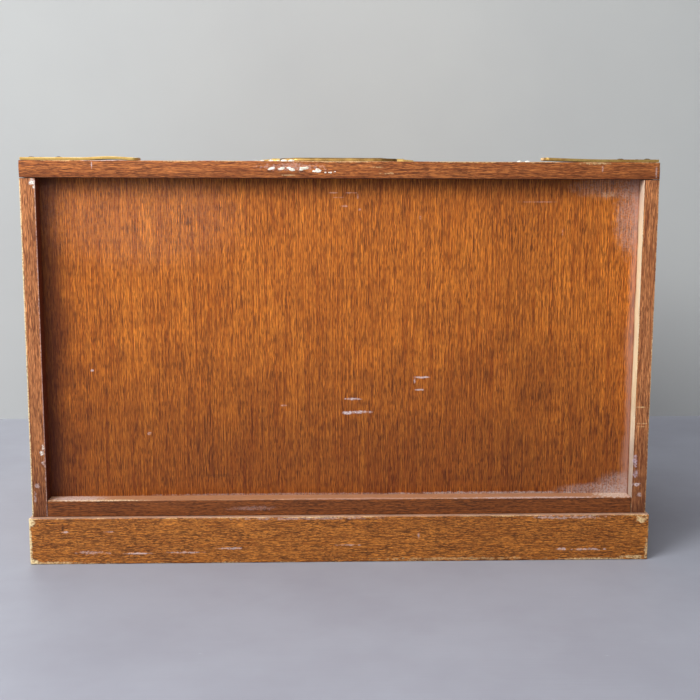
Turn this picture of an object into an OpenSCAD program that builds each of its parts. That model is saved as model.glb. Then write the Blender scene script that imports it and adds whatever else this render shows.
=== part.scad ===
// Bench-top type case: a boarded case on a plinth, holding a stack of shallow
// compartmented drawers for type, with brass corner plates and a folding lifting
// handle on its top board.
// The front, with the drawers, faces -Y and the recessed back panel faces +Y.
// The origin is on the floor, at the middle of the overall width and depth.

/* [Case] */
// Width over the two sides
case_w = 480; // [440:10:560]
// Depth from the front edges to the rear edges of the boards
case_d = 300; // [280:10:340]
// Height from the floor to the upper face of the top board
case_h = 310; // [300:5:330]

/* [Boards] */
// Thickness of the top board
top_t = 13; // [12:0.5:15]
// Thickness of each side
side_t = 12; // [11:0.5:15]
// Thickness of the bottom board
bottom_t = 13; // [12:0.5:15]
// Thickness of the back panel
back_t = 6; // [4:0.5:8]
// How far the back panel stands in from the rear edges
back_recess = 12.5; // [8:0.5:16]

/* [Plinth] */
// Height of the plinth
plinth_h = 37; // [30:1:45]
// Thickness of the plinth boards
plinth_t = 12; // [11:0.5:15]
// How far the plinth stands out past each side
plinth_step_x = 2; // [0:0.5:5]
// How far the plinth stands out past the front and the rear
plinth_step_y = 4; // [0:0.5:8]

/* [Drawers] */
// Number of drawers in the stack
drawer_count = 6; // [5:1:6]
// Thickness of a drawer front
front_t = 12; // [10:0.5:14]
// Thickness of the drawer sides and back
box_t = 8; // [7:0.5:9]
// Thickness of the partitions
partition_t = 3; // [2:0.5:4]

/* [Corner plates] */
// Length of each leg of a corner plate
plate_leg = 87; // [70:1:110]
// Width of each leg
plate_w = 18; // [14:1:24]
// Thickness of the plate
plate_t = 2; // [1.5:0.25:3]

/* [Lifting handle] */
// Distance between the inner faces of the two lugs
handle_span = 102; // [90:2:130]
// How far the grip lies from its pivot
handle_reach = 32; // [28:1:40]

/* [Hidden] */
$fn = 48;
slack = 0.01;

// Case
inner_w = case_w - 2 * side_t;
body_z0 = plinth_h;
inner_z0 = body_z0 + bottom_t;
inner_z1 = case_h - top_t;
front_back_set = 1;
hood_r = 14;
// The finger pulls stand out further than the plinth, so the case stands a little behind the origin
mid_y = (hood_r - front_back_set - plinth_step_y) / 2;
front_y = mid_y - case_d / 2;
rear_y = mid_y + case_d / 2;
panel_y1 = rear_y - back_recess;
panel_y0 = panel_y1 - back_t;
groove_depth = 5;
panel_play = 0.5;
dowel_d = 6;
dowel_rooted = 12;
dowel_raised = 9;
dowel_ys = [mid_y - 110, mid_y, mid_y + 110];
hole_play = 0.05;

// Drawer bays and runners
bay_h = (inner_z1 - inner_z0) / drawer_count;
runner_w = 9;
runner_h = 6;
runner_y0 = front_y + front_t + 3;
runner_y1 = panel_y0;
runner_screw_ys = [runner_y0 + 30, runner_y1 - 30];
runner_head_d = 5;
runner_head_h = 1.6;
runner_sink = 2;

// Drawer
front_gap = 0.6;
box_side_gap = 0.8;
ride_gap = 0.3;
kick_gap = 1.9;
rear_gap = 0.5;
box_h = bay_h - runner_h - ride_gap - kick_gap;
face_y = front_y + front_back_set;
box_y0 = face_y + front_t;
box_y1 = panel_y0 - rear_gap;
box_x1 = inner_w / 2 - box_side_gap;
box_x0 = box_x1 - box_t;
box_z0 = runner_h + ride_gap;
box_z1 = box_z0 + box_h;
floor_t = 3.5;
floor_z0 = box_z0 + 3;
floor_z1 = floor_z0 + floor_t;
floor_groove = 3.5;
back_set_in = 6;
back_y1 = box_y1 - back_set_in;
back_y0 = back_y1 - box_t;
back_z1 = box_z1 - 2;
housing = 3;
joint_gap = 0.1;
tail_l = box_t;
tail_narrow = 7;
tail_wide = 11;
tail_zs = [box_z0 + 0.28 * box_h, box_z0 + 0.72 * box_h];

// Lay of the drawer: a wide half for the small letters and a narrow half for the capitals
partition_h = box_h - 9;
bar_t = 5;
bar_x = box_x0 * 0.33;
wide_rows = [[2, 2, 2, 2, 2, 2], [2, 3, 2, 3, 2], [3, 3, 2, 2, 2], [2, 2, 3, 3, 2]];
narrow_rows = [for (row = [1:5]) [1, 1, 1, 1, 1]];

// Label holder with a finger pull
pull_w = 84;
pull_h = 34;
pull_t = 1.6;
pull_corner = 3;
hood_w = 60;
hood_wall = 1.5;
hood_z = 2;
window_w = 56;
window_h = 12;
window_z = 19;
pocket_t = 0.6;
pocket_margin = 2;
pull_screw_x = 36;
pull_screw_zs = [8, 26];

// Handle
lug_w = 7;
lug_r = 2.75;
pivot_z = case_h + 3;
pivot_r = 1.6;
pivot_play = 0.06;
base_t = 1.2;
base_l = 20;
base_w = 24;
base_screw_x = 13.5;
base_screw_y = 6.5;
rib_w = 5;
rib_h = 5.2;
rib_fall = 0.8;
arm_r = 2.1;
grip_l = handle_span - 28;
grip_w = 11;
grip_t = 5.2;
arm_x = handle_span / 2 - 2.6;
elbow_r = 7;

// Screws: [shank diameter, shank length, head diameter, head height]
pull_screw = [2.4, 9, 4.6, 1.3];
plate_screw = [3, 9, 6, 0.9];
handle_screw = [3, 10, 5.6, 1.1];
runner_screw = [3, 15];
slot_w = 0.8;
slot_depth = 0.5;

// Corner plates: how the leg along the rear edge has sprung with age
plate_inset = 1;
plate_screw_marks = [6.5, 27, plate_leg - 7];
spring_from = 44;
bow_lift = 0.9;
end_lift = 1.2;

PLATES = ["rear_right", "rear_left", "front_right", "front_left"];
CASE_NODES = ["top_board", "left_side", "right_side", "bottom_board", "back_panel",
    "case_dowels", "plinth_front", "plinth_rear", "plinth_left", "plinth_right",
    "plinth_glue_blocks", "left_runners", "right_runners", "runner_screws"];
TOP_NODES = ["corner_plate_screws", "handle_bracket_left", "handle_bracket_right",
    "handle_screws", "handle_bail"];
DRAWER_PARTS = ["front", "box", "floor", "partitions", "pull", "pull_screws"];

// ---------- helpers ----------

// Floor of drawer n's bay, counting from the top of the stack
function bay_z(n) = inner_z0 + (drawer_count - n) * bay_h;

function total(v, upto) = upto <= 0 ? 0 : v[upto - 1] + total(v, upto - 1);

// A box between two opposite corners
module slab(low, high) {
    translate(low) cube([high[0] - low[0], high[1] - low[1], high[2] - low[2]]);
}

// A flat outline with rounded corners, centred on X, standing on the X axis
module rounded_outline(w, h, r) {
    translate([-w / 2 + r, 0]) square([w - 2 * r, h]);
    translate([-w / 2, r]) square([w, h - 2 * r]);
    for (x = [-w / 2 + r, w / 2 - r], y = [r, h - r]) translate([x, y]) circle(r);
}

// A domed, slotted wood screw that points down -Z, its head standing on z = 0
module wood_screw(size, turn = 0) {
    head_r = size[2] / 2;
    head_h = size[3];
    dome_r = (head_r * head_r + head_h * head_h) / (2 * head_h);
    difference() {
        intersection() {
            translate([0, 0, head_h - dome_r]) sphere(dome_r);
            cylinder(r = head_r, h = head_h);
        }
        rotate(turn) translate([-head_r, -slot_w / 2, head_h - slot_depth])
            cube([2 * head_r, slot_w, slot_depth + 1]);
    }
    translate([0, 0, -size[1]]) cylinder(d = size[0], h = size[1] + slack);
}

// The hole that the shank of such a screw fills
module screw_hole(size) {
    translate([0, 0, -size[1]]) cylinder(r = size[0] / 2 + hole_play, h = size[1] + 3);
}

// ---------- case ----------

// Dowels rise from the sides into the top board, and reach from the bottom board into the sides
module at_dowels() {
    for (side = [-1, 1], y = dowel_ys) {
        translate([side * (case_w - side_t) / 2, y, inner_z1]) children();
        translate([side * inner_w / 2, y, body_z0 + bottom_t / 2]) rotate([0, 90 * side, 0]) children();
    }
}

module dowel(play = 0, end_gap = 0) {
    translate([0, 0, -dowel_rooted - end_gap])
        cylinder(r = dowel_d / 2 + play, h = dowel_rooted + dowel_raised + 2 * end_gap);
}

// The groove that takes the edges of the back panel all round
module panel_groove() {
    slab([-inner_w / 2 - groove_depth, panel_y0, inner_z0 - groove_depth],
        [inner_w / 2 + groove_depth, panel_y1, inner_z1 + groove_depth]);
}

module top_board() {
    color("sienna") difference() {
        slab([-case_w / 2, front_y, inner_z1], [case_w / 2, rear_y, case_h]);
        panel_groove();
        at_dowels() dowel(hole_play, 0.5);
        at_plate_screws() screw_hole(plate_screw);
        at_handle_screws() screw_hole(handle_screw);
    }
}

module case_side(side) {
    color("sienna") difference() {
        slab([side > 0 ? inner_w / 2 : -case_w / 2, front_y, body_z0],
            [side > 0 ? case_w / 2 : -inner_w / 2, rear_y, inner_z1]);
        panel_groove();
        at_dowels() dowel(hole_play, 0.5);
        at_runner_screws(side) screw_hole(runner_screw);
    }
}

module bottom_board() {
    color("sienna") difference() {
        slab([-inner_w / 2, front_y, body_z0], [inner_w / 2, rear_y, inner_z0]);
        panel_groove();
        at_dowels() dowel(hole_play, 0.5);
    }
}

module back_panel() {
    tongue = groove_depth - panel_play;
    color("peru") slab([-inner_w / 2 - tongue, panel_y0, inner_z0 - tongue],
        [inner_w / 2 + tongue, panel_y1, inner_z1 + tongue]);
}

module case_dowels() {
    color("burlywood") at_dowels() dowel();
}

// ---------- plinth ----------

module plinth_long(side) {
    y = case_d / 2 + plinth_step_y;
    color("sienna") translate([0, mid_y, 0])
        slab([-case_w / 2 - plinth_step_x, side > 0 ? y - plinth_t : -y, 0],
            [case_w / 2 + plinth_step_x, side > 0 ? y : -y + plinth_t, plinth_h]);
}

module plinth_short(side) {
    x = case_w / 2 + plinth_step_x;
    y = case_d / 2 + plinth_step_y - plinth_t;
    color("sienna") translate([0, mid_y, 0])
        slab([side > 0 ? x - plinth_t : -x, -y, 0], [side > 0 ? x : -x + plinth_t, y, plinth_h]);
}

module plinth_glue_blocks() {
    block = 24;
    lift = 3;
    x = case_w / 2 + plinth_step_x - plinth_t;
    y = case_d / 2 + plinth_step_y - plinth_t;
    color("burlywood") translate([0, mid_y, 0]) for (turn = [0, 180]) rotate(turn) {
        translate([x, y, lift]) rotate(180) linear_extrude(plinth_h - lift)
            polygon([[0, 0], [block, 0], [0, block]]);
        translate([-x, y, lift]) rotate(-90) linear_extrude(plinth_h - lift)
            polygon([[0, 0], [block, 0], [0, block]]);
    }
}

// ---------- runners ----------

module at_runner_screws(side) {
    for (n = [1:drawer_count], y = runner_screw_ys)
        translate([side * (inner_w / 2 - runner_w), y, bay_z(n) + runner_h / 2])
            rotate([0, -90 * side, 0]) translate([0, 0, -runner_sink]) children();
}

module runner_set(side) {
    x = inner_w / 2;
    color("peru") difference() {
        for (n = [1:drawer_count])
            slab([side > 0 ? x - runner_w : -x, runner_y0, bay_z(n)],
                [side > 0 ? x : -x + runner_w, runner_y1, bay_z(n) + runner_h]);
        at_runner_screws(side) {
            screw_hole(runner_screw);
            cylinder(r = runner_head_d / 2 + hole_play, h = runner_sink + 1);
        }
    }
}

module runner_screws() {
    color("dimgray") for (side = [-1, 1]) at_runner_screws(side) {
        cylinder(d = runner_head_d, h = runner_head_h);
        translate([0, 0, -runner_screw[1]]) cylinder(d = runner_screw[0], h = runner_screw[1] + slack);
    }
}

// ---------- corner plates ----------

// How far the sprung leg stands off the board at x from the corner
function bowed(x) = x <= spring_from ? 0
    : bow_lift * pow(sin(180 * (x - spring_from) / (plate_leg - spring_from)), 2);
function sprung(x) = x <= spring_from ? 0
    : end_lift * pow((x - spring_from) / (plate_leg - spring_from), 1.3);
function leg_lift(name, x) = name == "rear_right" ? bowed(x) : name == "rear_left" ? sprung(x) : 0;

// The side view of the leg along the rear or front edge
module leg_profile(name) {
    steps = 16;
    xs = [for (i = [0:steps]) spring_from + (plate_leg - spring_from) * i / steps];
    polygon(concat([[0, plate_t], [0, 0]],
        [for (x = xs) [x, leg_lift(name, x)]],
        [for (i = [steps:-1:0]) [xs[i], leg_lift(name, xs[i]) + plate_t]]));
}

// An L with rounded toes, its outer corner at the origin
module plate_outline() {
    toe = 4;
    square([plate_leg - toe, plate_w]);
    square([plate_w, plate_leg - toe]);
    translate([0, toe]) square([plate_leg, plate_w - 2 * toe]);
    translate([toe, 0]) square([plate_w - 2 * toe, plate_leg]);
    for (v = [toe, plate_w - toe]) {
        translate([plate_leg - toe, v]) circle(toe);
        translate([v, plate_leg - toe]) circle(toe);
    }
}

module plate_blank(name) {
    intersection() {
        linear_extrude(plate_t + 2) plate_outline();
        union() {
            translate([0, plate_w, 0]) rotate([90, 0, 0]) linear_extrude(plate_w) leg_profile(name);
            cube([plate_w, plate_leg, plate_t]);
        }
    }
}

// Puts a plate's own corner at the named corner of the top board
module at_corner(name) {
    sx = name == "rear_right" || name == "front_right" ? 1 : -1;
    sy = name == "rear_right" || name == "rear_left" ? 1 : -1;
    translate([sx * (case_w / 2 - plate_inset), mid_y + sy * (case_d / 2 - plate_inset), case_h])
        mirror([sx > 0 ? 1 : 0, 0, 0]) mirror([0, sy > 0 ? 1 : 0, 0]) children();
}

// Screw places on one plate. A rear leg has none at its end, and has sprung off the board there
function plate_screws(name) = concat(
    [for (m = plate_screw_marks) if (leg_lift(name, m) == 0) [m, plate_w / 2, plate_t]],
    [for (m = [plate_screw_marks[1], plate_screw_marks[2]]) [plate_w / 2, m, plate_t]]);

module at_plate_screws() {
    for (name = PLATES) at_corner(name)
        for (p = plate_screws(name)) translate(p) children();
}

module corner_plate(name) {
    color("goldenrod") difference() {
        at_corner(name) plate_blank(name);
        at_plate_screws() screw_hole(plate_screw);
    }
}

module corner_plate_screws() {
    color("dimgray") for (i = [0:3]) at_corner(PLATES[i]) {
        places = plate_screws(PLATES[i]);
        for (k = [0:len(places) - 1]) translate(places[k]) wood_screw(plate_screw, 50 * i + 70 * k);
    }
}

// ---------- lifting handle ----------

module at_handle_screws() {
    for (side = [-1, 1], y = [-base_screw_y, base_screw_y])
        translate([side * (handle_span / 2 + base_screw_x), mid_y + y, case_h + base_t]) children();
}

// The rib that backs the lug, seen from the side: it falls a little, then drops to the base's outer end
module rib_profile() {
    polygon([[lug_w - 1, 0], [lug_w - 1, rib_h], [base_l - 5, rib_h - rib_fall],
        [base_l - 1, base_t], [base_l - 1, 0]]);
}

// A screwed base with a bored lug at its inner end, and a rib behind the lug
module handle_bracket(side) {
    color("goldenrod") difference() {
        translate([0, mid_y, 0]) mirror([side > 0 ? 0 : 1, 0, 0]) translate([handle_span / 2, 0, 0])
            difference() {
                union() {
                    translate([0, 0, case_h]) linear_extrude(base_t) rotate(-90)
                        rounded_outline(base_w, base_l, 5);
                    translate([0, 0, pivot_z]) rotate([0, 90, 0]) cylinder(r = lug_r, h = lug_w);
                    slab([0, -lug_r, case_h], [lug_w, lug_r, pivot_z]);
                    translate([0, rib_w / 2, case_h]) rotate([90, 0, 0]) linear_extrude(rib_w) rib_profile();
                }
                translate([-1, 0, pivot_z]) rotate([0, 90, 0])
                    cylinder(r = pivot_r + pivot_play, h = lug_w + 2);
            }
        at_handle_screws() screw_hole(handle_screw);
    }
}

module handle_screws() {
    color("goldenrod") at_handle_screws() wood_screw(handle_screw, 35);
}

// The grip's section: a flat bar with round edges
module grip_section() {
    translate([-grip_w / 2 + grip_t / 2, -grip_t / 2]) square([grip_w - grip_t, grip_t]);
    for (s = [-1, 1]) translate([s * (grip_w - grip_t) / 2, 0]) circle(d = grip_t);
}

// One end of the bail: grip end, shoulder, elbow, arm and pivot pin
module bail_end() {
    bend_x = arm_x - elbow_r;
    bend_y = handle_reach - elbow_r;
    translate([grip_l / 2, handle_reach, 0]) rotate([0, 90, 0])
        cylinder(r1 = grip_t / 2, r2 = arm_r, h = bend_x - grip_l / 2);
    translate([bend_x, bend_y, 0]) rotate_extrude(angle = 90) translate([elbow_r, 0]) circle(arm_r);
    translate([arm_x, 0, 0]) rotate([-90, 0, 0]) cylinder(r = arm_r, h = bend_y);
    translate([arm_x, 0, 0]) rotate([0, 90, 0]) cylinder(r = arm_r + 0.5, h = 4.4, center = true);
    translate([arm_x, 0, 0]) rotate([0, 90, 0]) cylinder(r = pivot_r, h = lug_w + 2.2);
}

module handle_bail() {
    color("gold") translate([0, mid_y, pivot_z]) {
        translate([-grip_l / 2, handle_reach, 0]) rotate([90, 0, 90]) linear_extrude(grip_l) grip_section();
        bail_end();
        mirror([1, 0, 0]) bail_end();
    }
}

// ---------- drawers ----------

// Dovetails at the front corner of a drawer side: narrow at the root, wide at the tip
module tails() {
    for (z = tail_zs) translate([0, 0, z])
        rotate([90, 0, 90]) linear_extrude(box_t)
            polygon([[slack, -tail_narrow / 2], [slack, tail_narrow / 2],
                [-tail_l, tail_wide / 2], [-tail_l, -tail_wide / 2]]);
}

module at_drawer_corners() {
    translate([box_x0, box_y0, 0]) children();
    translate([-box_x1, box_y0, 0]) children();
}

module drawer_floor_panel(margin) {
    slab([-box_x0 - floor_groove + margin, box_y0 - floor_groove + margin, floor_z0],
        [box_x0 + floor_groove - margin, box_y1, floor_z1]);
}

// Screw places of the label holder on a drawer's own front
module at_pull_screws() {
    for (x = [-pull_screw_x, pull_screw_x], z = pull_screw_zs)
        translate([x, face_y - pull_t, (bay_h - pull_h) / 2 + z]) rotate([90, 0, 0]) children();
}

module drawer_front(n) {
    color("sienna") translate([0, 0, bay_z(n)]) difference() {
        slab([-inner_w / 2 + front_gap, face_y, front_gap],
            [inner_w / 2 - front_gap, box_y0, bay_h - front_gap]);
        at_drawer_corners() tails();
        drawer_floor_panel(0);
        at_pull_screws() screw_hole(pull_screw);
    }
}

// The back board, standing on the floor in a housing in each side
module drawer_back(gap) {
    x = box_x0 + housing - gap;
    slab([-x, back_y0 + gap, floor_z1], [x, back_y1 - gap, gap > 0 ? back_z1 : box_z1 + 1]);
}

module drawer_box(n) {
    color("burlywood") translate([0, 0, bay_z(n)]) {
        difference() {
            at_drawer_corners() {
                slab([0, 0, box_z0], [box_t, box_y1 - box_y0, box_z1]);
                tails();
            }
            drawer_floor_panel(0);
            drawer_back(0);
        }
        drawer_back(joint_gap);
    }
}

module drawer_floor(n) {
    color("wheat") translate([0, 0, bay_z(n)]) drawer_floor_panel(0.2);
}

// One strip of the lay, standing on the floor and just clear of the pieces at its ends
module strip(low, high, h) {
    slab([low[0], low[1], floor_z1], [high[0], high[1], floor_z1 + h]);
}

// One half of the lay: full-length strips between the rows, and short pieces across each row.
// x0 and x1 are its edges, and each row lists the relative widths of its boxes.
module lay_half(x0, x1, rows) {
    row_count = len(rows);
    row_y = (back_y0 - box_y0 - (row_count - 1) * partition_t) / row_count;
    for (r = [0:row_count - 1]) {
        y = back_y0 - (r + 1) * row_y - r * partition_t;
        boxes = len(rows[r]);
        unit = (x1 - x0 - (boxes - 1) * partition_t) / total(rows[r], boxes);
        if (r < row_count - 1)
            strip([x0 + joint_gap, y - partition_t], [x1 - joint_gap, y], partition_h);
        for (c = [1:boxes - 1]) {
            x = x0 + total(rows[r], c) * unit + (c - 1) * partition_t;
            strip([x, y + joint_gap], [x + partition_t, y + row_y - joint_gap], partition_h);
        }
    }
}

module drawer_partitions(n) {
    color("tan") translate([0, 0, bay_z(n)]) {
        strip([bar_x, box_y0], [bar_x + bar_t, back_y0], partition_h + 1);
        lay_half(-box_x0, bar_x, wide_rows);
        lay_half(bar_x + bar_t, box_x0, narrow_rows);
    }
}

// The finger pull: a quarter of a tube with closed ends, open below
module pull_hood() {
    translate([-hood_w / 2, 0, hood_z]) rotate([90, 0, 90]) difference() {
        intersection() {
            cylinder(r = hood_r, h = hood_w);
            translate([-hood_r, 0, 0]) cube([hood_r, hood_r, hood_w]);
        }
        translate([0, 0, hood_wall]) cylinder(r = hood_r - hood_wall, h = hood_w - 2 * hood_wall);
    }
}

module drawer_pull(n) {
    color("goldenrod") translate([0, 0, bay_z(n)]) difference() {
        translate([0, face_y, (bay_h - pull_h) / 2]) {
            difference() {
                union() {
                    rotate([90, 0, 0]) linear_extrude(pull_t) rounded_outline(pull_w, pull_h, pull_corner);
                    pull_hood();
                }
                translate([-window_w / 2, -pull_t - 1, window_z]) cube([window_w, pull_t + 2, window_h]);
                translate([-window_w / 2 - pocket_margin, -pocket_t, window_z - pocket_margin])
                    cube([window_w + 2 * pocket_margin, pocket_t + 1, window_h + 2 * pocket_margin]);
            }
        }
        at_pull_screws() screw_hole(pull_screw);
    }
}

module drawer_pull_screws(n) {
    color("darkgoldenrod") translate([0, 0, bay_z(n)])
        at_pull_screws() wood_screw(pull_screw, 40 * n + 15);
}

// ---------- what is drawn ----------

top_board();
case_side(-1);  // left_side
case_side(1);  // right_side
bottom_board();
back_panel();
case_dowels();
plinth_long(-1);  // plinth_front
plinth_long(1);  // plinth_rear
plinth_short(-1);  // plinth_left
plinth_short(1);  // plinth_right
plinth_glue_blocks();
runner_set(-1);  // left_runners
runner_set(1);  // right_runners
runner_screws();
for (name = PLATES) corner_plate(name);
corner_plate_screws();
handle_bracket(-1);  // handle_bracket_left
handle_bracket(1);  // handle_bracket_right
handle_screws();
handle_bail();
for (n = [1:drawer_count]) {
    drawer_front(n);
    drawer_box(n);
    drawer_floor(n);
    drawer_partitions(n);
    drawer_pull(n);
    drawer_pull_screws(n);
}
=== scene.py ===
"""A bench-top type case: its looks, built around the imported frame.

The rear, with its recessed panel, faces +Y, and the drawers open towards -Y.
Lengths are metres, except in names that end in _mm and in what mm() and wood() are
given. Shared finishes are node groups, and every board, fitting and card gets its own
material from them.
"""
import math
import random

import bmesh
import bpy
from mathutils import Matrix, Vector


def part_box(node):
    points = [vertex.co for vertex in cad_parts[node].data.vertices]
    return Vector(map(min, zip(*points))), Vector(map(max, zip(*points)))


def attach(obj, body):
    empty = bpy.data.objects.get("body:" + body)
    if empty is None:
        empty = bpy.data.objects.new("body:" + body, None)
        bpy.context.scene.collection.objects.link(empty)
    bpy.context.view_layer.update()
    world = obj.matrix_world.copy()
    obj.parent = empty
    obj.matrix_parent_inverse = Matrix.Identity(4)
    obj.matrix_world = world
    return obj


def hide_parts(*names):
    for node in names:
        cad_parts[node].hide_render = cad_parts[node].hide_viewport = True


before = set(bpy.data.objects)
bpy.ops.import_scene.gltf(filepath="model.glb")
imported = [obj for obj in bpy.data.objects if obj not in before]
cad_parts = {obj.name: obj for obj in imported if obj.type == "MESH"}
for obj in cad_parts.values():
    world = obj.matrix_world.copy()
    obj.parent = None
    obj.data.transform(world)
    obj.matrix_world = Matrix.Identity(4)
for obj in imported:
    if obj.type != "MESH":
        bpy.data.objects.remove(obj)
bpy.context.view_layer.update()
scene = bpy.context.scene

MM = 0.001
X, Y, Z = range(3)
UP = Vector((0, 0, 1))
TOP_LOW, TOP_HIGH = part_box("top_board")
SILL_LOW, SILL_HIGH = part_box("bottom_board")
PANEL_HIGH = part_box("back_panel")[1]
PLINTH_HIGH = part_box("plinth_rear")[1]
REAR = TOP_HIGH.y
TOP = TOP_HIGH.z
MID_Y = (TOP_LOW.y + TOP_HIGH.y) / 2
DRAWERS = sum(name.endswith("_front") and name.startswith("drawer_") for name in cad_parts)


def mm(*values):
    """A point or size given in millimetres."""
    return Vector(values) * MM


def paint(red, green, blue):
    """A colour as it is seen on a screen, 0 to 255, made linear for the shader."""
    seen = [channel / 255 for channel in (red, green, blue)]
    linear = [c / 12.92 if c <= 0.04045 else ((c + 0.055) / 1.055) ** 2.4 for c in seen]
    return (*linear, 1.0)


# ---------- camera ----------

CAMERA_AT = Vector((22.45 * MM, REAR + 829.2 * MM, TOP - 20.3 * MM))
CAMERA_YAW, CAMERA_PITCH, CAMERA_ROLL = (math.radians(a) for a in (1.97, 8.38, 0.17))
CAMERA_LENS = 56.36


def add_camera():
    forward = Vector((-math.sin(CAMERA_YAW) * math.cos(CAMERA_PITCH),
                      -math.cos(CAMERA_YAW) * math.cos(CAMERA_PITCH),
                      -math.sin(CAMERA_PITCH)))
    level = forward.cross(UP).normalized()
    upright = level.cross(forward)
    right = level * math.cos(CAMERA_ROLL) + upright * math.sin(CAMERA_ROLL)
    camera = bpy.data.objects.new("camera", bpy.data.cameras.new("camera"))
    camera.data.lens = CAMERA_LENS
    camera.data.sensor_width = 36
    camera.matrix_world = Matrix.Translation(CAMERA_AT) @ Matrix(
        (right, right.cross(forward), -forward)).transposed().to_4x4()
    scene.collection.objects.link(camera)
    scene.camera = camera


# ---------- shader building ----------

def plug(tree, value, socket):
    """Links a socket to a socket, or gives it a plain value."""
    if isinstance(value, bpy.types.NodeSocket):
        tree.links.new(value, socket)
    else:
        socket.default_value = value


def add_node(tree, kind, inputs=None, **settings):
    made = tree.nodes.new("ShaderNode" + kind)
    for key, value in settings.items():
        setattr(made, key, value)
    for key, value in (inputs or {}).items():
        plug(tree, value, made.inputs[key])
    return made


def calc(tree, operation, *values, clamp=False):
    made = add_node(tree, "Math", dict(enumerate(values)), operation=operation, use_clamp=clamp)
    return made.outputs[0]


def vector_calc(tree, operation, *values):
    made = add_node(tree, "VectorMath", dict(enumerate(values)), operation=operation)
    return made.outputs["Value" if operation == "LENGTH" else "Vector"]


def scaled(tree, vector, by):
    return add_node(tree, "VectorMath", {0: vector, "Scale": by}, operation="SCALE").outputs[0]


def split_axes(tree, vector):
    return add_node(tree, "SeparateXYZ", {0: vector}).outputs


def shifted(tree, place, seed):
    """The place moved by a seed along every axis, so that no two pieces get the same pattern."""
    seeds = add_node(tree, "CombineXYZ", {"X": seed, "Y": seed, "Z": seed}).outputs[0]
    return vector_calc(tree, "ADD", place, seeds)


def from_plane(tree, place, axis, where_mm):
    """The distance to the plane that crosses an axis at where_mm."""
    offset = calc(tree, "SUBTRACT", split_axes(tree, place)[axis], where_mm * MM)
    return calc(tree, "ABSOLUTE", offset)


def noise(tree, vector, scale=1.0, detail=2.0, roughness=0.5):
    inputs = {"Vector": vector, "Scale": scale, "Detail": detail, "Roughness": roughness}
    return add_node(tree, "TexNoise", inputs).outputs[0]


def ease(tree, value, low, high, start=0.0, end=1.0):
    """value taken smoothly from low..high to start..end."""
    inputs = {"Value": value, "From Min": low, "From Max": high, "To Min": start, "To Max": end}
    return add_node(tree, "MapRange", inputs, interpolation_type="SMOOTHSTEP").outputs[0]


def mix(tree, share, first, second):
    """A blend of two colours, which are a Mix node's inputs 6 and 7. Its output 2 is the blend."""
    made = add_node(tree, "Mix", data_type="RGBA")
    plug(tree, share, made.inputs[0])
    plug(tree, first, made.inputs[6])
    plug(tree, second, made.inputs[7])
    return made.outputs[2]


def new_group(name, inputs, outputs):
    """An empty node group. inputs are (label, kind, start value), outputs are (label, kind)."""
    tree = bpy.data.node_groups.new(name, "ShaderNodeTree")
    for label, kind, start in inputs:
        socket = tree.interface.new_socket(label, in_out="INPUT", socket_type="NodeSocket" + kind)
        socket.default_value = start
    for label, kind in outputs:
        tree.interface.new_socket(label, in_out="OUTPUT", socket_type="NodeSocket" + kind)
    ins = tree.nodes.new("NodeGroupInput").outputs
    outs = tree.nodes.new("NodeGroupOutput").inputs
    return tree, ins, outs


def use_group(tree, group, **inputs):
    made = add_node(tree, "Group", node_tree=group)
    for key, value in inputs.items():
        plug(tree, value, made.inputs[key.replace("_", " ")])
    return made.outputs


def find_node(tree, kind):
    return next(found for found in tree.nodes if found.type == kind)


def new_material(name):
    """A material with only a Principled shader. Also returns its tree, the shader's inputs and the place."""
    material = bpy.data.materials.new(name)
    material.use_nodes = True
    tree = material.node_tree
    shader = find_node(tree, "BSDF_PRINCIPLED")
    place = add_node(tree, "TexCoord").outputs["Object"]
    return material, tree, shader.inputs, place


def bump(tree, height, depth_mm):
    return add_node(tree, "Bump", {"Height": height, "Distance": depth_mm * MM}).outputs["Normal"]


# ---------- shared finishes ----------

# Widths and lengths of the grain's layers, as shares of the pores' own
HAIR_WIDTH, HAIR_LENGTH = 0.8, 0.36
THREAD_WIDTH, THREAD_LENGTH = 1.3, 5.0
GLINT_LENGTH = 0.7
GLINT_SHIFT = (7.3, 7.3, 7.3)
THREAD_SHARE, GLINT_SHARE = 0.55, 0.45


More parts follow.
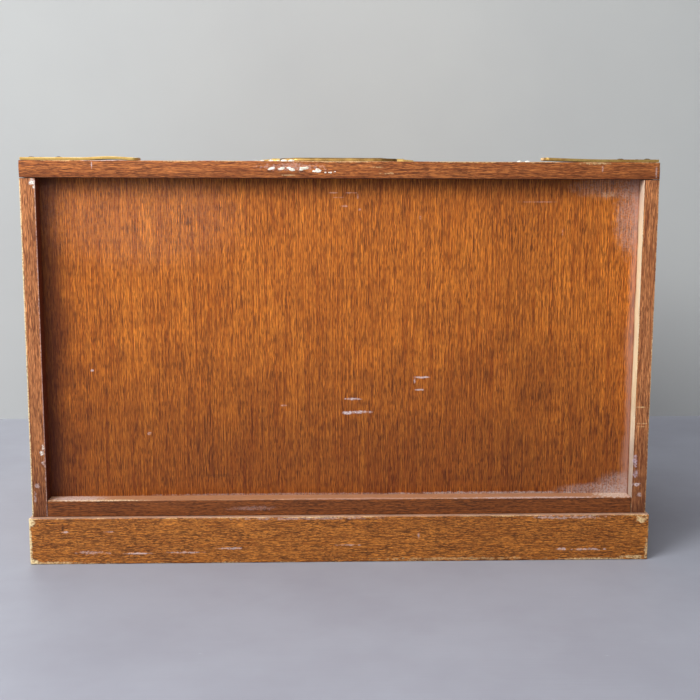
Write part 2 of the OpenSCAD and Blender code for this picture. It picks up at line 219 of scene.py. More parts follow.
def make_grain():
    """Wood seen along its grain: pores drawn out into dashes, streaks, and slow patches."""
    tree, ins, outs = new_group(
        "wood_grain",
        [("Place", "Vector", (0, 0, 0)), ("Along", "Vector", (0, 0, 1)), ("Seed", "Float", 0.0),
         ("Pore length", "Float", 0.02), ("Pore width", "Float", 0.0009), ("Pore share", "Float", 0.5),
         ("Sway", "Float", 0.004)],
        [("Pores", "Float"), ("Streaks", "Float"), ("Patches", "Float"), ("Height", "Float")])
    across = vector_calc(tree, "SUBTRACT", (1, 1, 1), ins["Along"])
    seeded = shifted(tree, ins["Place"], ins["Seed"])
    sway = calc(tree, "MULTIPLY", noise(tree, seeded, 14, 2), ins["Sway"])
    swayed = vector_calc(tree, "ADD", seeded, scaled(tree, across, sway))

    def drawn_out(width, length):
        """The place, in units of width across the grain and length along it."""
        wide = scaled(tree, across, calc(tree, "DIVIDE", 1.0, width))
        tall = scaled(tree, ins["Along"], calc(tree, "DIVIDE", 1.0, length))
        return vector_calc(tree, "MULTIPLY", swayed, vector_calc(tree, "ADD", wide, tall))

    def share_of_pore(width_share, length_share):
        return drawn_out(calc(tree, "MULTIPLY", ins["Pore width"], width_share),
                         calc(tree, "MULTIPLY", ins["Pore length"], length_share))

    coarse = noise(tree, drawn_out(ins["Pore width"], ins["Pore length"]), 1, 2, 0.5)
    fine = noise(tree, share_of_pore(HAIR_WIDTH, HAIR_LENGTH), 1, 0, 0.4)
    cut = add_node(tree, "MapRange", {"Value": ins["Pore share"], "To Min": 0.72, "To Max": 0.42}).outputs[0]
    pores = ease(tree, coarse, calc(tree, "SUBTRACT", cut, 0.04), calc(tree, "ADD", cut, 0.05))
    hairs = ease(tree, fine, 0.50, 0.64, 0.0, 0.8)
    crowded = ease(tree, noise(tree, drawn_out(0.012, 0.05), 1, 2, 0.5), 0.30, 0.62, 0.8, 1.0)
    both = calc(tree, "MULTIPLY", calc(tree, "MAXIMUM", pores, hairs), crowded)
    tree.links.new(both, outs["Pores"])
    threads = noise(tree, share_of_pore(THREAD_WIDTH, THREAD_LENGTH), 1, 2, 0.6)
    glints = noise(tree, vector_calc(tree, "ADD", share_of_pore(1.0, GLINT_LENGTH), GLINT_SHIFT), 1, 2, 0.5)
    streaks = calc(tree, "ADD", calc(tree, "MULTIPLY", threads, THREAD_SHARE),
                   calc(tree, "MULTIPLY", glints, GLINT_SHARE))
    tree.links.new(ease(tree, streaks, 0.36, 0.66), outs["Streaks"])
    patches = noise(tree, drawn_out(0.055, 0.13), 1, 2, 0.55)
    tree.links.new(ease(tree, patches, 0.32, 0.68), outs["Patches"])
    tree.links.new(calc(tree, "SUBTRACT", 1.0, both), outs["Height"])
    return tree


def make_arris_wear():
    """How bare a board's long edges and corners are rubbed, from the distance to its nearest arris."""
    tree, ins, outs = new_group(
        "arris_wear",
        [("Place", "Vector", (0, 0, 0)), ("Centre", "Vector", (0, 0, 0)), ("Half size", "Vector", (1, 1, 1)),
         ("Reach", "Float", 0.002), ("Seed", "Float", 0.0)],
        [("Bare", "Float")])
    from_centre = vector_calc(tree, "ABSOLUTE", vector_calc(tree, "SUBTRACT", ins["Place"], ins["Centre"]))
    inward = vector_calc(tree, "SUBTRACT", ins["Half size"], from_centre)
    depth = split_axes(tree, inward)
    low = calc(tree, "MINIMUM", depth[X], depth[Y])
    high = calc(tree, "MAXIMUM", depth[X], depth[Y])
    middle = calc(tree, "MAXIMUM", low, calc(tree, "MINIMUM", high, depth[Z]))
    seeded = shifted(tree, ins["Place"], ins["Seed"])
    slow = ease(tree, noise(tree, seeded, 24, 4, 0.65), 0.36, 0.66, 0.05, 1.5)
    ragged = ease(tree, noise(tree, seeded, 700, 4, 0.7), 0.25, 0.75, 0.1, 1.9)
    reach = calc(tree, "MULTIPLY", ins["Reach"], calc(tree, "MULTIPLY", slow, ragged))
    near = calc(tree, "DIVIDE", middle, reach)
    tree.links.new(ease(tree, near, 0.2, 1.2, 1.0, 0.0), outs["Bare"])
    return tree


MARK_FINENESS = 420.0
CRUMB_FINENESS = 1.9 * MARK_FINENESS


def make_mark():
    """One scuff, stain or splash: a ragged patch around a place."""
    tree, ins, outs = new_group(
        "mark",
        [("Place", "Vector", (0, 0, 0)), ("At", "Vector", (0, 0, 0)), ("Size", "Vector", (0.01, 0.01, 0.01)),
         ("Ragged", "Float", 0.8)],
        [("Mask", "Float")])
    away = vector_calc(tree, "DIVIDE", vector_calc(tree, "SUBTRACT", ins["Place"], ins["At"]), ins["Size"])
    rough = calc(tree, "SUBTRACT", noise(tree, ins["Place"], MARK_FINENESS, 3), 0.5)
    distance = calc(tree, "ADD", vector_calc(tree, "LENGTH", away), calc(
        tree, "MULTIPLY", rough, calc(tree, "MULTIPLY", ins["Ragged"], 2.4)))
    crumbs = ease(tree, noise(tree, ins["Place"], CRUMB_FINENESS, 2), 0.38, 0.56, 0.35, 1.0)
    patch = ease(tree, distance, 0.45, 1.05, 1.0, 0.0)
    tree.links.new(calc(tree, "MULTIPLY", patch, crumbs), outs["Mask"])
    return tree


def make_scratches():
    """Fine hair scratches that run every way, for brass."""
    tree, ins, outs = new_group("hair_scratches", [("Place", "Vector", (0, 0, 0))], [("Mask", "Float")])
    total = None
    for turn, stretch in ((0.4, 35), (-0.9, 28), (1.7, 40)):
        inputs = {"Vector": ins["Place"], "Axis": (0.3, 0.4, 0.87), "Angle": turn}
        turned = add_node(tree, "VectorRotate", inputs, rotation_type="AXIS_ANGLE").outputs[0]
        narrowed = vector_calc(tree, "MULTIPLY", turned, (2600.0, stretch, 900.0))
        line = ease(tree, noise(tree, narrowed, 1, 0, 0.5), 0.70, 0.78)
        total = line if total is None else calc(tree, "MAXIMUM", total, line)
    tree.links.new(total, outs["Mask"])
    return tree


GRAIN = make_grain()
ARRIS_WEAR = make_arris_wear()
MARK = make_mark()
SCRATCHES = make_scratches()
ALONG = {"X": (1, 0, 0), "Y": (0, 1, 0), "Z": (0, 0, 1)}


# ---------- wood ----------

# Colours are pore, deep, light and bare wood.
CASE_TONES = (paint(76, 32, 12), paint(146, 76, 32), paint(222, 136, 70), paint(240, 196, 138))
SIDE_TONES = (paint(84, 38, 20), paint(150, 84, 46), paint(236, 158, 98), paint(242, 206, 158))
PANEL_TONES = (paint(66, 24, 4), paint(158, 76, 16), paint(242, 144, 48), paint(226, 178, 130))
PLINTH_TONES = (paint(60, 30, 12), paint(150, 82, 24), paint(222, 140, 58), paint(244, 208, 146))
SILL_TONES = (paint(60, 28, 10), paint(106, 54, 18), paint(158, 88, 36), paint(226, 176, 130))
DEEP_RED = paint(64, 16, 2)
DRAWER_TONES = (paint(132, 94, 58), paint(188, 146, 98), paint(214, 176, 126), paint(232, 200, 152))
PLY_TONES = (paint(126, 88, 54), paint(186, 144, 100), paint(210, 170, 124), paint(230, 200, 156))
DUST = paint(206, 196, 194)
# Grime, and also the colour of painted shade under the top board
GRIME_AND_SHADE = paint(52, 28, 18)
CHALK = paint(226, 208, 208)
WHITE_PAINT = paint(250, 248, 240)
PALE_WOOD = paint(240, 206, 150)
RAW_WOOD = paint(255, 232, 178)
SORE_PINK = paint(222, 186, 178)
# Roughness of bare wood and of scuffs, in the form that mix() takes
BARE_ROUGH = (0.8, 0.8, 0.8, 1)
SCUFF_ROUGH = (0.75, 0.75, 0.75, 1)
VARNISH_ROUGH = 0.32
WOOD_SPECULAR = 0.25
# How strongly the grain's patches and pores darken the wood, and roughen it
PATCH_TINT, PORE_TINT = 0.22, 0.8
PORE_ROUGH, FILM_ROUGH = 0.20, 0.2


def wood(name, tones, along, seed, length_mm, width_mm, pores, relief_mm=0.05, sway_mm=3.0, gloss=0.46,
         varnish=0.12, worn=None, board=None, spare=None, marks=(), dirt_and_shade=(), inward=None):
    """Wood with its pores drawn along the grain, a varnish rubbed off at the arrises, and marks.

    worn is how far the bare wood reaches in from the arrises, in millimetres, and board the low and high
    corners that it is measured from.
    spare is (axis, place, reach): no bare wood within that reach of one plane.
    marks are (centre, size, strength, colour, raggedness), in millimetres, and lie on top of the finish.
    dirt_and_shade are (axis, place, fade, strength, colour): a film that fades away from one plane. Some are
    dirt and dust, and some are painted shade.
    inward is a function that repaints one face, after the wear and before these films.
    """
    material, tree, shader, place = new_material(name)
    grain = use_group(tree, GRAIN, Place=place, Along=ALONG[along], Seed=seed, Pore_length=length_mm * MM,
                      Pore_width=width_mm * MM, Pore_share=pores, Sway=sway_mm * MM)
    pore_tone, deep, light, bare_tone = tones
    colour = mix(tree, grain["Streaks"], deep, light)
    colour = mix(tree, calc(tree, "MULTIPLY", grain["Patches"], PATCH_TINT), colour, deep)
    colour = mix(tree, calc(tree, "MULTIPLY", grain["Pores"], PORE_TINT), colour, pore_tone)
    rough = calc(tree, "MULTIPLY_ADD", grain["Pores"], PORE_ROUGH, gloss)
    film = calc(tree, "SUBTRACT", noise(tree, place, 60, 3), 0.5)
    rough = calc(tree, "MULTIPLY_ADD", film, FILM_ROUGH, rough)
    if worn:
        low, high = board
        wear = use_group(tree, ARRIS_WEAR, Place=place, Centre=(low + high) / 2, Half_size=(high - low) / 2,
                         Reach=worn * MM, Seed=seed + 3.0)
        bare = wear["Bare"]
        if spare:
            axis, where, reach = spare
            away = from_plane(tree, place, axis, where)
            bare = calc(tree, "MULTIPLY", bare, ease(tree, away, reach * 0.6 * MM, reach * MM))
        rubbed = calc(tree, "MULTIPLY", bare, ease(tree, noise(tree, place, 300, 3), 0.3, 0.6, 0.55, 1.0))
        raw = mix(tree, calc(tree, "MULTIPLY", grain["Pores"], 0.5), bare_tone, deep)
        colour = mix(tree, rubbed, colour, raw)
        rough = mix(tree, bare, rough, BARE_ROUGH)
    if inward:
        colour, rough = inward(tree, place, grain, colour, rough)
    # Films of dirt and dust, and films of painted shade, as each finish lists them.
    for axis, where, fade, strength, tone in dirt_and_shade:
        away = from_plane(tree, place, axis, where)
        cloud = ease(tree, noise(tree, place, 45, 4, 0.65), 0.3, 0.7, 0.7, 1.3)
        faded = calc(tree, "DIVIDE", away, calc(tree, "MULTIPLY", cloud, fade * MM))
        layer = ease(tree, faded, 0.0, 1.0, 1.0, 0.0)
        colour = mix(tree, calc(tree, "MULTIPLY", layer, strength), colour, tone)
    for centre, size, strength, tone, ragged in marks:
        mask = use_group(tree, MARK, Place=place, At=mm(*centre), Size=mm(*size), Ragged=ragged)["Mask"]
        layer = calc(tree, "MULTIPLY", mask, strength)
        colour = mix(tree, layer, colour, tone)
        rough = mix(tree, layer, rough, SCUFF_ROUGH)
    plug(tree, colour, shader["Base Color"])
    plug(tree, rough, shader["Roughness"])
    shader["Coat Weight"].default_value = varnish
    shader["Coat Roughness"].default_value = VARNISH_ROUGH
    shader["Specular IOR Level"].default_value = WOOD_SPECULAR
    plug(tree, bump(tree, grain["Height"], relief_mm), shader["Normal"])
    return material


# ---------- fittings ----------

# Colours are rubbed, browned and spotted brass, and rubbed and browned screw heads.
BRASS_TONES = (paint(246, 210, 126), paint(180, 130, 66), paint(92, 64, 36))
BAIL_TONES = (paint(196, 158, 92), paint(128, 98, 54), paint(84, 62, 38))
SCREW_TONES = (paint(122, 100, 70), paint(62, 50, 38))


def brass(name, seed, tarnish, tones=BRASS_TONES):
    """Old brass: bright where it is rubbed, browned in patches, with dark spots and hair scratches."""
    material, tree, shader, place = new_material(name)
    moved = vector_calc(tree, "ADD", place, (seed, seed, seed))
    bright, browned, spotted = tones
    cloud = ease(tree, noise(tree, moved, 70, 5, 0.62), 0.30, 0.70)
    colour = mix(tree, calc(tree, "MULTIPLY", cloud, tarnish + 0.25, clamp=True), bright, browned)
    spots = ease(tree, noise(tree, moved, 900, 3, 0.6), 0.60, 0.72)
    colour = mix(tree, calc(tree, "MULTIPLY", spots, tarnish), colour, spotted)
    lines = use_group(tree, SCRATCHES, Place=moved)["Mask"]
    colour = mix(tree, calc(tree, "MULTIPLY", lines, 0.35), colour, bright)
    plug(tree, colour, shader["Base Color"])
    rough = calc(tree, "MULTIPLY_ADD", cloud, 0.22, 0.30)
    plug(tree, calc(tree, "MULTIPLY_ADD", spots, 0.2, rough), shader["Roughness"])
    shader["Metallic"].default_value = 1.0
    plug(tree, bump(tree, noise(tree, moved, 260, 4, 0.6), 0.10), shader["Normal"])
    return material


def screw_metal(name, seed=0.0):
    """Screw heads browned almost black, worn brighter on top."""
    material, tree, shader, place = new_material(name)
    moved = vector_calc(tree, "ADD", place, (seed, seed, seed))
    cloud = ease(tree, noise(tree, moved, 500, 4, 0.6), 0.35, 0.68)
    plug(tree, mix(tree, cloud, *SCREW_TONES), shader["Base Color"])
    plug(tree, calc(tree, "MULTIPLY_ADD", cloud, 0.25, 0.40), shader["Roughness"])
    shader["Metallic"].default_value = 0.9
    plug(tree, bump(tree, noise(tree, moved, 1400, 3), 0.06), shader["Normal"])
    return material


def paper(name, seed):
    """A blank card gone brown from its edges in, with foxing and the faint laid fibres."""
    material, tree, shader, place = new_material(name)
    moved = vector_calc(tree, "ADD", place, (seed, 0.0, seed))
    cloud = ease(tree, noise(tree, moved, 35, 5, 0.6), 0.3, 0.7)
    colour = mix(tree, cloud, paint(226, 210, 174), paint(204, 182, 138))
    foxing = ease(tree, noise(tree, moved, 320, 4, 0.7), 0.62, 0.76)
    colour = mix(tree, calc(tree, "MULTIPLY", foxing, 0.6), colour, paint(150, 104, 62))
    plug(tree, colour, shader["Base Color"])
    plug(tree, calc(tree, "MULTIPLY_ADD", cloud, 0.1, 0.82), shader["Roughness"])
    fibres = noise(tree, vector_calc(tree, "MULTIPLY", moved, (1500.0, 900.0, 4200.0)), 1, 3)
    plug(tree, bump(tree, fibres, 0.04), shader["Normal"])
    return material


def splash(name):
    """Old white house paint: thick, chalky, yellowed in its thin places."""
    material, tree, shader, place = new_material(name)
    thin = ease(tree, noise(tree, place, 500, 4, 0.6), 0.35, 0.72)
    plug(tree, mix(tree, thin, WHITE_PAINT, paint(232, 218, 186)), shader["Base Color"])
    plug(tree, calc(tree, "MULTIPLY_ADD", thin, 0.2, 0.5), shader["Roughness"])
    plug(tree, bump(tree, noise(tree, place, 1300, 3), 0.12), shader["Normal"])
    return material


# ---------- modelling ----------

def let_go():
    if bpy.context.object and bpy.context.object.mode != "OBJECT":
        bpy.ops.object.mode_set(mode="OBJECT")
    bpy.ops.object.select_all(action="DESELECT")


def hold(piece):
    let_go()
    piece.select_set(True)
    bpy.context.view_layer.objects.active = piece


def settle(piece):
    """Puts the piece's place and size in its mesh, with its origin at the world's."""
    hold(piece)
    bpy.ops.object.transform_apply(location=True, rotation=True, scale=True)


def edit(piece):
    hold(piece)
    bpy.ops.object.mode_set(mode="EDIT")
    bpy.ops.mesh.select_mode(type="EDGE")
    bpy.ops.mesh.select_all(action="DESELECT")


def pick_edges(piece, wanted):
    """Selects the edges for which wanted(first end, second end, edge) is true, and counts them."""
    shape = bmesh.from_edit_mesh(piece.data)
    for edge in shape.edges:
        edge.select_set(wanted(edge.verts[0].co, edge.verts[1].co, edge))
    shape.select_flush_mode()
    bmesh.update_edit_mesh(piece.data)
    return sum(edge.select for edge in shape.edges)


def block(name, low, high):
    """A plain start between two corners. What follows shapes it."""
    let_go()
    bpy.ops.mesh.primitive_cube_add(size=1, location=(low + high) / 2, scale=high - low)
    piece = bpy.context.active_object
    piece.name = name
    settle(piece)
    return piece


def modify(piece, kind, **settings):
    """Adds a modifier and applies it."""
    hold(piece)
    modifier = piece.modifiers.new(kind.lower(), kind)
    for key, value in settings.items():
        setattr(modifier, key, value)
    bpy.ops.object.modifier_apply(modifier=modifier.name)


def smooth(piece, degrees=35):
    """Rounds the shading where faces meet at less than this angle, and keeps flats flat."""
    hold(piece)
    bpy.ops.object.shade_smooth_by_angle(angle=math.radians(degrees))
    modify(piece, "WEIGHTED_NORMAL", weight=80, keep_sharp=True)


def show(piece, material, body, stands_for=()):
    """Gives a finished piece its material, and its place in the frame."""
    piece.data.materials.clear()
    piece.data.materials.append(material)
    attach(piece, body)
    if stands_for:
        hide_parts(*stands_for)


def wear_texture(name, size_mm):
    texture = bpy.data.textures.new(name, "CLOUDS")
    texture.noise_scale = size_mm * MM
    texture.noise_depth = 3
    return texture


RUBBED = wear_texture("rubbed_arris", 9.0)
WARPED = wear_texture("warped_face", 130.0)
PITCH = 4.0 * MM
WELD = 0.002 * MM
WORN_DEPTH = 0.45 * MM
# The least angle between an arris's two faces, in radians, and the least cosine of a parallel edge
ARRIS_ANGLE = 0.6
PARALLEL = 0.9999


def arris_distance(point, low, high):
    """How far a point is from the box's nearest long edge."""
    return sorted(min(point[i] - low[i], high[i] - point[i]) for i in (X, Y, Z))[1]


def worn_board(node, arris_mm, corner_mm):
    """A board as long use leaves it: its arrises rounded unevenly, and its corners knocked."""
    low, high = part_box(node)
    piece = block(node.title(), low, high)
    edit(piece)
    if corner_mm:
        pick_edges(piece, lambda a, b, e: abs((a - b).normalized().z) > 0.99)
        bpy.ops.mesh.bevel(offset=corner_mm * MM, segments=4, affect="EDGES")
    pick_edges(piece, lambda a, b, e: e.calc_face_angle(0) > ARRIS_ANGLE)
    bpy.ops.mesh.bevel(offset=arris_mm * MM, segments=3, affect="EDGES", clamp_overlap=True)
    for axis in (X, Y, Z):
        reach = (high - low)[axis]
        cuts = int(reach / PITCH) - 1

        def runs_along(a, b, e):
            line = a - b
            return abs(line[axis]) > reach * 0.6 and abs(line.normalized()[axis]) > PARALLEL

        if cuts > 0 and pick_edges(piece, runs_along):
            bpy.ops.mesh.subdivide(number_cuts=cuts)
    let_go()
    group = piece.vertex_groups.new(name="arris")
    near = [v.index for v in piece.data.vertices if arris_distance(v.co, low, high) < (arris_mm + 0.1) * MM]
    group.add(near, 1.0, "REPLACE")
    modify(piece, "DISPLACE", texture=RUBBED, texture_coords="LOCAL", strength=WORN_DEPTH, mid_level=0.82,
           vertex_group="arris")
    smooth(piece)
    return piece


def from_frame(node, arris_mm, segments=2):
    """A piece that starts as a merged copy of a node's own shape, and has its sharp edges softened."""
    piece = bpy.data.objects.new(node.title(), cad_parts[node].data.copy())
    scene.collection.objects.link(piece)
    edit(piece)
    bpy.ops.mesh.select_all(action="SELECT")
    bpy.ops.mesh.customdata_custom_splitnormals_clear()
    bpy.ops.mesh.remove_doubles(threshold=WELD)
    bpy.ops.mesh.dissolve_limited(angle_limit=math.radians(0.5))
    modify(piece, "BEVEL", width=arris_mm * MM, segments=segments, limit_method="ANGLE",
           angle_limit=math.radians(30), use_clamp_overlap=True)
    smooth(piece)
    return piece


def keep(node, material):
    """A frame piece whose shape is already right takes its finish."""
    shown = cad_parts[node]
    shown.data.materials.clear()
    shown.data.materials.append(material)


def lowered(piece, by, name):
    """A copy with its own mesh, moved straight down."""
    twin = piece.copy()
    twin.data = piece.data.copy()
    twin.name = name
    scene.collection.objects.link(twin)
    twin.parent = None
    twin.matrix_world = Matrix.Identity(4)
    twin.data.transform(Matrix.Translation((0, 0, -by)))
    return twin


# ---------- the case ----------

REAR_MM, TOP_MM = REAR / MM, TOP / MM
PANEL_MM = PANEL_HIGH.y / MM
PLINTH_MM = PLINTH_HIGH.y / MM


def top_finish():
    edge = REAR_MM
    marks = [
        ((-237, edge, 302), (0.8, 3, 5.0), 0.35, CHALK, 0.7),
        ((-196, edge, 305), (0.7, 2, 3.2), 0.30, CHALK, 0.8),
        ((-190, edge, 309), (14, 3, 1.2), 0.55, PALE_WOOD, 0.8),
        ((186, edge, 306.6), (0.5, 2, 4.2), 0.70, CHALK, 0.4),
        ((182, edge, 309.8), (16, 2, 0.5), 0.60, CHALK, 0.9),
        ((38, edge, 305.5), (24, 3, 3.0), 0.35, SORE_PINK, 1.3),
        ((2, edge, 309.6), (26, 3, 0.7), 0.55, PALE_WOOD, 0.9),
        ((-34, edge, 301.0), (7, 3, 0.7), 0.45, PALE_WOOD, 1.0),
        ((-26, edge, 305.5), (5, 3, 0.6), 0.35, PALE_WOOD, 1.0),
        ((40, edge, 299.5), (7, 3, 0.5), 0.55, PALE_WOOD, 0.7),
        ((-92, edge, 309.8), (34, 3, 0.7), 0.65, PALE_WOOD, 0.9),
        ((120, edge, 309.7), (18, 3, 0.8), 0.65, PALE_WOOD, 0.9),
        ((85, edge, 309.8), (14, 3, 0.6), 0.60, PALE_WOOD, 0.9),
        ((60, -40, TOP_MM), (70, 50, 2), 0.20, GRIME_AND_SHADE, 0.9),
        ((-120, 60, TOP_MM), (32, 1.0, 2), 0.40, CHALK, 0.6),
        ((-60, -70, TOP_MM), (1.2, 24, 2), 0.35, CHALK, 0.6),
        ((140, -20, TOP_MM), (20, 0.9, 2), 0.35, CHALK, 0.6),
        ((-170, -60, TOP_MM), (16, 16, 2), 0.30, GRIME_AND_SHADE, 0.5),
    ]
    # The dark line along the lower arris is painted shade, and the film above it darkens towards the lower
    # edge. The wide film is painted shade towards the -X end, away from the light.
    dirt_and_shade = [(Z, TOP_LOW.z / MM, 1.0, 0.8, GRIME_AND_SHADE), (Z, TOP_LOW.z / MM, 7.0, 0.3, DEEP_RED),
            (X, TOP_LOW.x / MM, 330, 0.22, DEEP_RED)]
    return wood("top_varnish", CASE_TONES, "X", 1.3, 10, 0.58, 0.50, worn=0.6, board=(TOP_LOW, TOP_HIGH),
                spare=(Z, TOP_LOW.z / MM, 5), marks=marks, sway_mm=4.0, dirt_and_shade=dirt_and_shade)


def side_finish(node, seed):
    """The sides are rubbed bare along their arrises, and the right-hand one is splashed with paint. Inside
    the recess one face carries painted shade and the other painted light.
    """
    low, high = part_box(node)
    if low.x > 0:
        marks = [
            ((230.2, REAR_MM, 294.0), (2.6, 2, 2.6), 0.95, WHITE_PAINT, 0.7),
            ((229.0, REAR_MM, 290.6), (1.2, 2, 2.4), 0.85, WHITE_PAINT, 0.6),
            ((230.6, REAR_MM, 88.0), (1.8, 2, 2.6), 0.90, WHITE_PAINT, 0.9),
            ((229.6, REAR_MM, 92.5), (1.0, 2, 3.4), 0.80, WHITE_PAINT, 0.9),
            ((230.0, REAR_MM, 80.0), (1.3, 2, 1.6), 0.80, CHALK, 0.9),
            ((235.0, REAR_MM, 62.0), (2.0, 2, 2.2), 0.40, CHALK, 0.9),
            ((240, REAR_MM, 170), (1.4, 1.6, 500), 0.85, RAW_WOOD, 0.35),
            ((228, REAR_MM, 170), (0.9, 0.9, 500), 0.60, SORE_PINK, 0.9),
            ((237, REAR_MM, 52), (1.2, 2, 6), 0.35, CHALK, 0.9),
        ]
    else:
        marks = [
            ((-229.8, REAR_MM, 79.0), (2.2, 2, 6.0), 0.70, paint(206, 186, 200), 0.9),
            ((-231.0, REAR_MM, 69.0), (2.6, 2, 3.6), 0.55, paint(200, 186, 202), 0.9),
            ((-231.5, REAR_MM, 60.0), (4.5, 2, 1.4), 0.70, CHALK, 1.2),
            ((-234.5, REAR_MM, 52.0), (2.6, 2, 2.0), 0.40, CHALK, 0.8),
            ((-240, REAR_MM, 170), (0.8, 0.8, 500), 0.45, PALE_WOOD, 1.3),
            ((-233, REAR_MM, 122), (6, 2, 0.6), 0.55, PALE_WOOD, 0.6),
            ((-234, REAR_MM, 109), (5, 2, 0.5), 0.50, PALE_WOOD, 0.6),
            ((-234, REAR_MM, 106.5), (5, 2, 0.4), 0.50, PALE_WOOD, 0.6),
        ]

    def bare_lit_and_shaded_inside(tree, place, grain, colour, rough):
        """In the panel's recess the inner face on the +X side is painted dark as shade, and on the other side
        is bare wood toned near white as painted light.
        """
        inner_x = low.x if low.x > 0 else high.x
        at = split_axes(tree, place)
        near = ease(tree, from_plane(tree, place, X, inner_x / MM), 0.0, 0.8 * MM, 1.0, 0.0)
        behind = ease(tree, at[Y], PANEL_HIGH.y - 1 * MM, PANEL_HIGH.y)
        above = ease(tree, at[Z], SILL_HIGH.z - 1 * MM, SILL_HIGH.z)
        face = calc(tree, "MULTIPLY", near, calc(tree, "MULTIPLY", behind, above))
        # Painted shade: the +X side's inner face, which faces away from the light, is painted deep red-brown.
        if low.x > 0:
            return mix(tree, calc(tree, "MULTIPLY", face, 0.9), colour, paint(96, 30, 6)), rough
        ragged = noise(tree, vector_calc(tree, "MULTIPLY", place, (200.0, 200.0, 22.0)), 1, 4, 0.6)
        depth = calc(tree, "ADD", at[Y], calc(tree, "MULTIPLY", calc(tree, "SUBTRACT", ragged, 0.5), 9 * MM))
        rub = calc(tree, "MULTIPLY", face, ease(tree, depth, PANEL_HIGH.y + 1 * MM, PANEL_HIGH.y + 5 * MM))
        chalky = ease(tree, at[Z], 60 * MM, 135 * MM, 1.0, 0.0)
        high_up = ease(tree, at[Z], 250 * MM, 285 * MM)
        # Bare wood, with its tones raised near white as painted light on the lit face.
        tone = mix(tree, grain["Streaks"], paint(252, 222, 172), paint(255, 248, 214))
        tone = mix(tree, calc(tree, "MULTIPLY", chalky, 0.7), tone, paint(255, 236, 224))
        tone = mix(tree, calc(tree, "MULTIPLY", high_up, 0.5), tone, paint(230, 196, 186))
        tone = mix(tree, calc(tree, "MULTIPLY", grain["Pores"], 0.14), tone, paint(206, 150, 100))
        return mix(tree, rub, colour, tone), mix(tree, rub, rough, BARE_ROUGH)

    dirt_and_shade = [(Z, low.z / MM, 120, 0.55, DEEP_RED), (Z, low.z / MM, 12, 0.35, GRIME_AND_SHADE),
            (Z, high.z / MM, 0.9, 0.85, GRIME_AND_SHADE)]
    return wood(f"{node}_varnish", SIDE_TONES, "Z", seed, 12, 0.56, 0.5, sway_mm=1.5, worn=0.7,
                board=(low, high), spare=(Z, high.z / MM, 2), marks=marks, dirt_and_shade=dirt_and_shade, inward=bare_lit_and_shaded_inside)


def sill_finish():
    edge = REAR_MM
    marks = [
        ((-218, PANEL_MM + 4, 50.2), (22, 12, 1.4), 0.65, paint(236, 222, 210), 0.8),
        ((-150, edge - 0.6, 49.9), (70, 3, 0.6), 0.55, CHALK, 0.8),
        ((-20, edge - 0.6, 49.9), (90, 3, 0.5), 0.30, SORE_PINK, 0.9),
        ((190, edge - 0.6, 49.9), (44, 3, 0.7), 0.70, paint(250, 222, 180), 0.6),
        ((206, PANEL_MM + 6, 50), (26, 8, 1.0), 0.55, CHALK, 0.5),
        ((70, edge, 43), (20, 2, 2), 0.15, CHALK, 0.8),
    ]
    dirt_and_shade = [(Z, SILL_HIGH.z / MM, 0.9, 0.48, paint(222, 164, 122)), (Z, SILL_LOW.z / MM, 0.8, 0.6, GRIME_AND_SHADE)]
    return wood("sill_varnish", SILL_TONES, "X", 5.1, 9, 0.55, 0.45, gloss=0.5, worn=0.3,
                board=(SILL_LOW, SILL_HIGH), spare=(Z, SILL_LOW.z / MM, 5), marks=marks, dirt_and_shade=dirt_and_shade)


